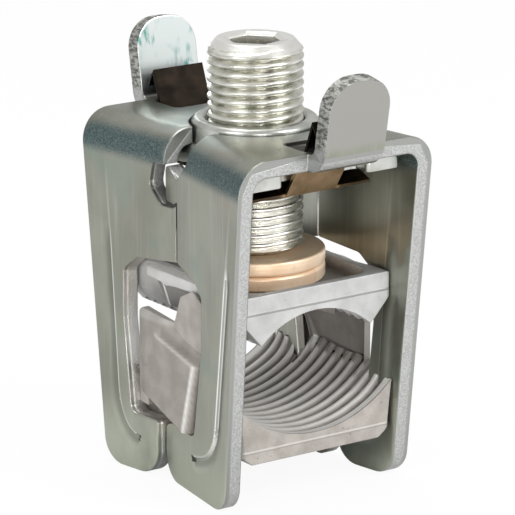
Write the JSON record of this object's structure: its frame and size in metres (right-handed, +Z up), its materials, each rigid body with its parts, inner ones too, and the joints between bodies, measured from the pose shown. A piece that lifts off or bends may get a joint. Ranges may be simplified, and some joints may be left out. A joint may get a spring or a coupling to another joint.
{
  "type": "terminal clamp",
  "caption": "Folded steel cage clamp with a hex socket screw that presses an arched saddle down onto a ribbed lower saddle to hold a round or flat conductor.",
  "frame": {"origin": "centre of the footprint, on the plane of the cage's feet", "axes": "+Z up along the clamp screw, -Y towards the front opening with the conductor lying along Y, +X to the right"},
  "size_m": [0.0386, 0.0594, 0.074],
  "materials": {
    "cage_zinc": "zinc plated, clear passivated",
    "nut_zinc": "zinc plated",
    "screw_zinc": "bright zinc plated",
    "disc_bronze": "turned bronze",
    "spring_bronze": "rolled spring bronze",
    "saddle_cast": "as cast"
  },
  "bodies": {
    "cage": {"front_bracket": "cage_zinc", "rear_bracket": "cage_zinc", "nut_plate": "nut_zinc", "spring_clip": "spring_bronze", "lower_saddle": "saddle_cast"},
    "pressure": {"upper_saddle": "saddle_cast", "lower_thrust_disc": "disc_bronze"},
    "screw": {"clamp_screw": "screw_zinc", "upper_thrust_disc": "disc_bronze"}
  },
  "joints": [
    {"name": "saddle_slide", "type": "slide", "parent": "cage", "child": "pressure", "axis": [0, 0, 1], "range_m": [-0.013, 0.0005]},
    {"name": "screw_turn", "type": "hinge", "parent": "pressure", "child": "screw", "pos_m": [0, 0, 0.036], "axis": [0, 0, 1], "range_deg": [-3121, 121]}
  ],
  "couplings": [
    {"joint": "screw_turn", "follows": "saddle_slide", "rad_per_m": 4188.8}
  ]
}
